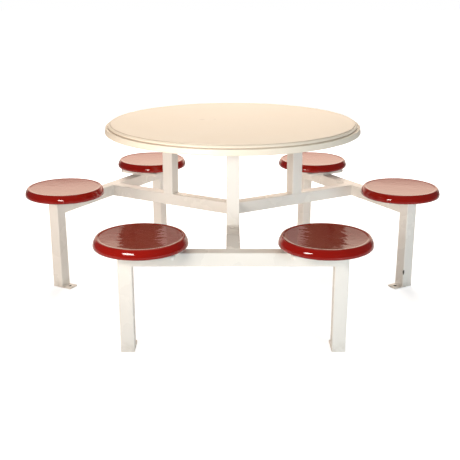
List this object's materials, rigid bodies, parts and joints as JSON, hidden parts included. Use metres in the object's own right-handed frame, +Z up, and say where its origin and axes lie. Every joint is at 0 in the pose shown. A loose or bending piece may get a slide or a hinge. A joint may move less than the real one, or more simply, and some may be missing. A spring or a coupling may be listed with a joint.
{
  "type": "table with attached swivel seats",
  "caption": "Round canteen table on a three-armed square-tube frame, with round swivel seats over the ends of its cross beams and foot plates to bolt down.",
  "frame": {"origin": "on the floor, at the middle of the overall footprint; the table's axis stands 21.8 mm behind it", "axes": "+Z up, +X to the right seen from the front arm, the front arm points along -Y"},
  "size_m": [1.7868, 1.5924, 0.73],
  "materials": {
    "top_gelcoat": "glossy moulded glass-fibre",
    "seat_gelcoat": "glossy moulded glass-fibre",
    "board": "plain plywood",
    "frame_paint": "satin powder coat on steel",
    "bright_steel": "turned steel",
    "nylon": "natural nylon",
    "zinc_screw": "bright zinc"
  },
  "bodies": {
    "frame": {"table_top": "top_gelcoat", "top_core": "board", "top_screws": "zinc_screw", "spindles": "bright_steel", "thrust_washers": "nylon", "retaining_rings": "bright_steel", "post_front": "frame_paint", "top_plate_front": "frame_paint", "radial_beam_front": "frame_paint", "cross_beam_front": "frame_paint", "post_left": "frame_paint", "top_plate_left": "frame_paint", "radial_beam_left": "frame_paint", "cross_beam_left": "frame_paint", "post_right": "frame_paint", "top_plate_right": "frame_paint", "radial_beam_right": "frame_paint", "cross_beam_right": "frame_paint", "leg_front_left": "frame_paint", "floor_plate_front_left": "frame_paint", "seat_carrier_front_left": "frame_paint", "leg_front_right": "frame_paint", "floor_plate_front_right": "frame_paint", "seat_carrier_front_right": "frame_paint", "leg_mid_left": "frame_paint", "floor_plate_mid_left": "frame_paint", "seat_carrier_mid_left": "frame_paint", "leg_rear_left": "frame_paint", "floor_plate_rear_left": "frame_paint", "seat_carrier_rear_left": "frame_paint", "leg_mid_right": "frame_paint", "floor_plate_mid_right": "frame_paint", "seat_carrier_mid_right": "frame_paint", "leg_rear_right": "frame_paint", "floor_plate_rear_right": "frame_paint", "seat_carrier_rear_right": "frame_paint"},
    "swivel_front_left": {"seat_front_left": "seat_gelcoat", "seat_hub_front_left": "bright_steel", "hub_bush_front_left": "nylon", "seat_screws_front_left": "zinc_screw"},
    "swivel_front_right": {"seat_front_right": "seat_gelcoat", "seat_hub_front_right": "bright_steel", "hub_bush_front_right": "nylon", "seat_screws_front_right": "zinc_screw"},
    "swivel_mid_left": {"seat_mid_left": "seat_gelcoat", "seat_hub_mid_left": "bright_steel", "hub_bush_mid_left": "nylon", "seat_screws_mid_left": "zinc_screw"},
    "swivel_rear_left": {"seat_rear_left": "seat_gelcoat", "seat_hub_rear_left": "bright_steel", "hub_bush_rear_left": "nylon", "seat_screws_rear_left": "zinc_screw"},
    "swivel_mid_right": {"seat_mid_right": "seat_gelcoat", "seat_hub_mid_right": "bright_steel", "hub_bush_mid_right": "nylon", "seat_screws_mid_right": "zinc_screw"},
    "swivel_rear_right": {"seat_rear_right": "seat_gelcoat", "seat_hub_rear_right": "bright_steel", "hub_bush_rear_right": "nylon", "seat_screws_rear_right": "zinc_screw"}
  },
  "joints": [
    {"name": "front_left_seat_turn", "type": "hinge", "parent": "frame", "child": "swivel_front_left", "pos_m": [-0.325, -0.62823, 0.4], "axis": [0, 0, 1], "continuous": true},
    {"name": "front_right_seat_turn", "type": "hinge", "parent": "frame", "child": "swivel_front_right", "pos_m": [0.325, -0.62823, 0.4], "axis": [0, 0, 1], "continuous": true},
    {"name": "mid_left_seat_turn", "type": "hinge", "parent": "frame", "child": "swivel_mid_left", "pos_m": [-0.72542, 0.06531, 0.4], "axis": [0, 0, 1], "continuous": true},
    {"name": "rear_left_seat_turn", "type": "hinge", "parent": "frame", "child": "swivel_rear_left", "pos_m": [-0.40042, 0.62823, 0.4], "axis": [0, 0, 1], "continuous": true},
    {"name": "mid_right_seat_turn", "type": "hinge", "parent": "frame", "child": "swivel_mid_right", "pos_m": [0.72542, 0.06531, 0.4], "axis": [0, 0, 1], "continuous": true},
    {"name": "rear_right_seat_turn", "type": "hinge", "parent": "frame", "child": "swivel_rear_right", "pos_m": [0.40042, 0.62823, 0.4], "axis": [0, 0, 1], "continuous": true}
  ]
}
